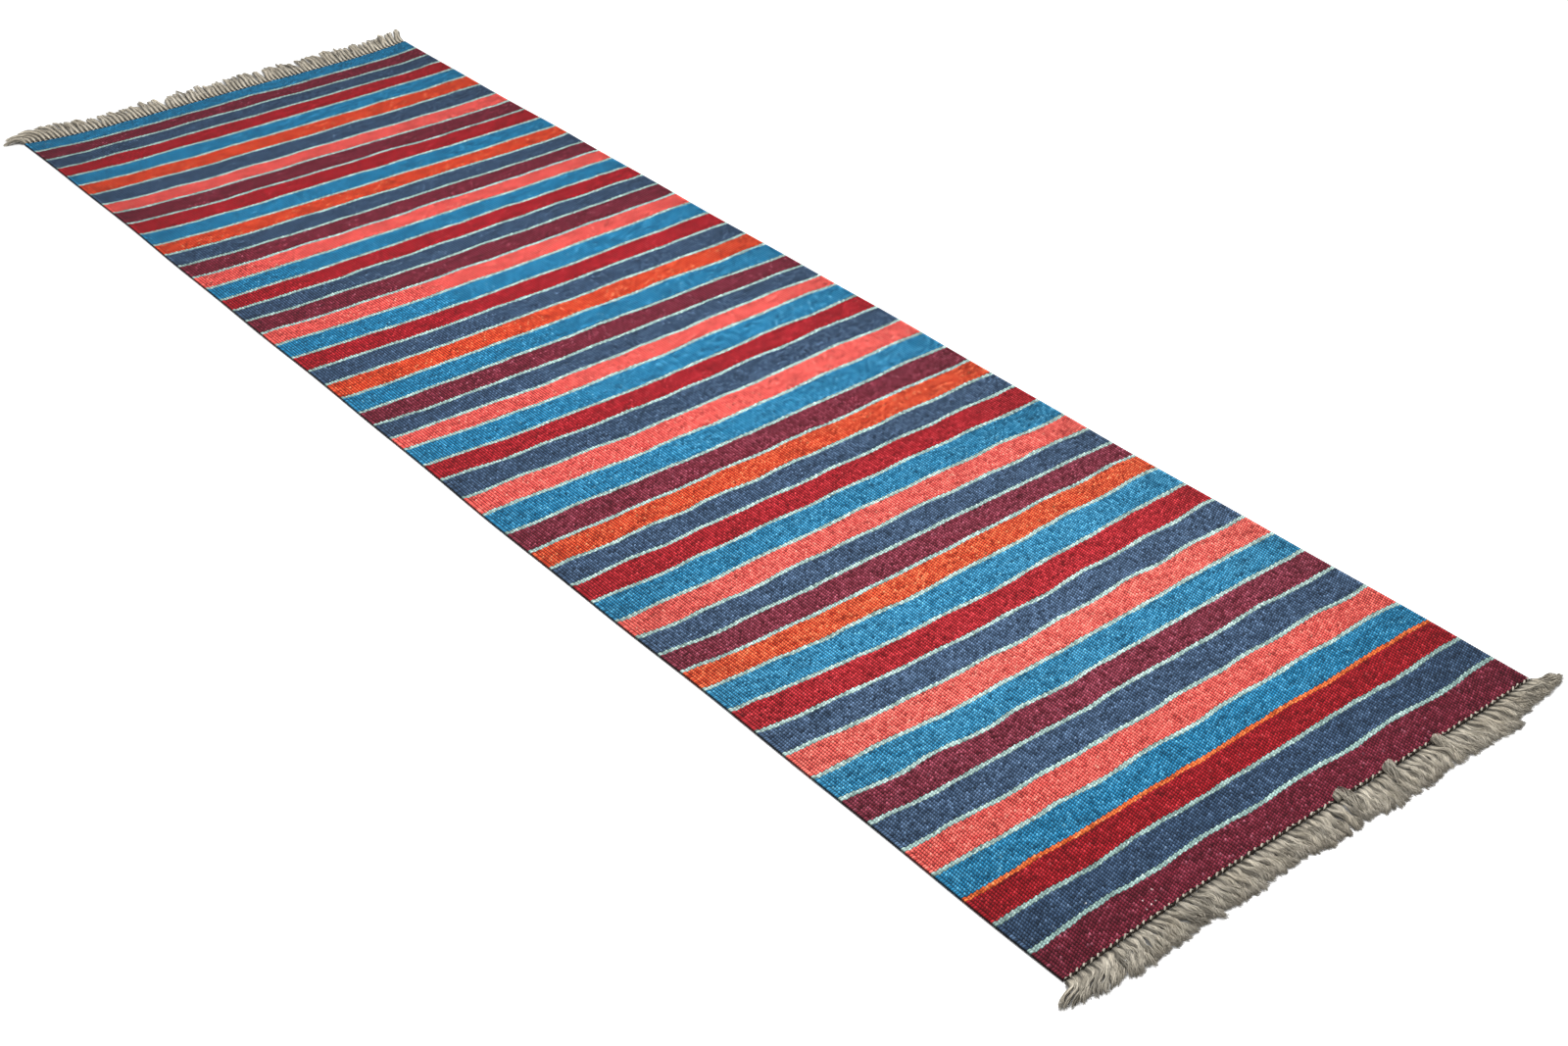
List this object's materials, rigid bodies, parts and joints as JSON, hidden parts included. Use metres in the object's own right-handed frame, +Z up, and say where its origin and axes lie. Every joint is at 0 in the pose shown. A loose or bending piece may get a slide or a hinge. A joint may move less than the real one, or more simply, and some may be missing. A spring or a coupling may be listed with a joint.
{
  "type": "runner rug",
  "caption": "Long flat-woven runner rug with cross bands of dyed weft, thin pinstripes, corded selvedges, twined ends and a warp fringe at both ends.",
  "frame": {"origin": "on the floor, under the middle of the whole rug with its fringes", "axes": "+X across the rug, +Y along it towards the end with the longer fringe, +Z up through the pile face"},
  "size_m": [0.7838, 2.6357, 0.004],
  "materials": {
    "teal_weft": "dull dyed yarn, teal blue with lighter and darker streaks",
    "navy_weft": "dull dyed yarn, greyed navy",
    "crimson_weft": "dull dyed yarn, crimson",
    "plum_weft": "dull dyed yarn, plum with pink flecks",
    "coral_weft": "dull dyed yarn, coral pink with orange flecks",
    "orange_weft": "dull dyed yarn, burnt orange with streaks",
    "pale_weft": "dull yarn, pale grey-green",
    "orange_stripe_weft": "dull dyed yarn, light orange",
    "warp_yarn": "undyed plied yarn, warm grey-beige, hairy",
    "twining_cord": "undyed cream cord"
  },
  "bodies": {
    "root": {"band_01_teal": "teal_weft", "band_02_plum": "plum_weft", "band_03_navy": "navy_weft", "band_04_crimson": "crimson_weft", "band_05_teal": "teal_weft", "band_06_orange": "orange_weft", "band_07_navy": "navy_weft", "band_08_coral": "coral_weft", "band_09_plum": "plum_weft", "band_10_crimson": "crimson_weft", "band_11_teal": "teal_weft", "band_12_orange": "orange_weft", "band_13_navy": "navy_weft", "band_14_plum": "plum_weft", "band_15_coral": "coral_weft", "band_16_teal": "teal_weft", "band_17_crimson": "crimson_weft", "band_18_navy": "navy_weft", "band_19_plum": "plum_weft", "band_20_coral": "coral_weft", "band_21_teal": "teal_weft", "band_22_crimson": "crimson_weft", "band_23_navy": "navy_weft", "band_24_orange": "orange_weft", "band_25_teal": "teal_weft", "band_26_plum": "plum_weft", "band_27_navy": "navy_weft", "band_28_coral": "coral_weft", "band_29_teal": "teal_weft", "band_30_crimson": "crimson_weft", "band_31_navy": "navy_weft", "band_32_coral": "coral_weft", "band_33_teal": "teal_weft", "band_34_plum": "plum_weft", "band_35_orange": "orange_weft", "band_36_navy": "navy_weft", "band_37_crimson": "crimson_weft", "band_38_teal": "teal_weft", "band_39_coral": "coral_weft", "band_40_navy": "navy_weft", "band_41_plum": "plum_weft", "band_42_orange": "orange_weft", "band_43_teal": "teal_weft", "band_44_crimson": "crimson_weft", "band_45_navy": "navy_weft", "band_46_coral": "coral_weft", "band_47_teal": "teal_weft", "band_48_plum": "plum_weft", "band_49_navy": "navy_weft", "band_50_coral": "coral_weft", "band_51_teal": "teal_weft", "band_52_crimson": "crimson_weft", "band_53_navy": "navy_weft", "band_54_plum": "plum_weft", "end_twining": "twining_cord", "fringe_tassels": "warp_yarn", "orange_pinstripe": "orange_stripe_weft", "pale_pinstripes": "pale_weft", "selvedge_cords": "warp_yarn", "warp_yarns": "warp_yarn"}
  },
  "joints": []
}
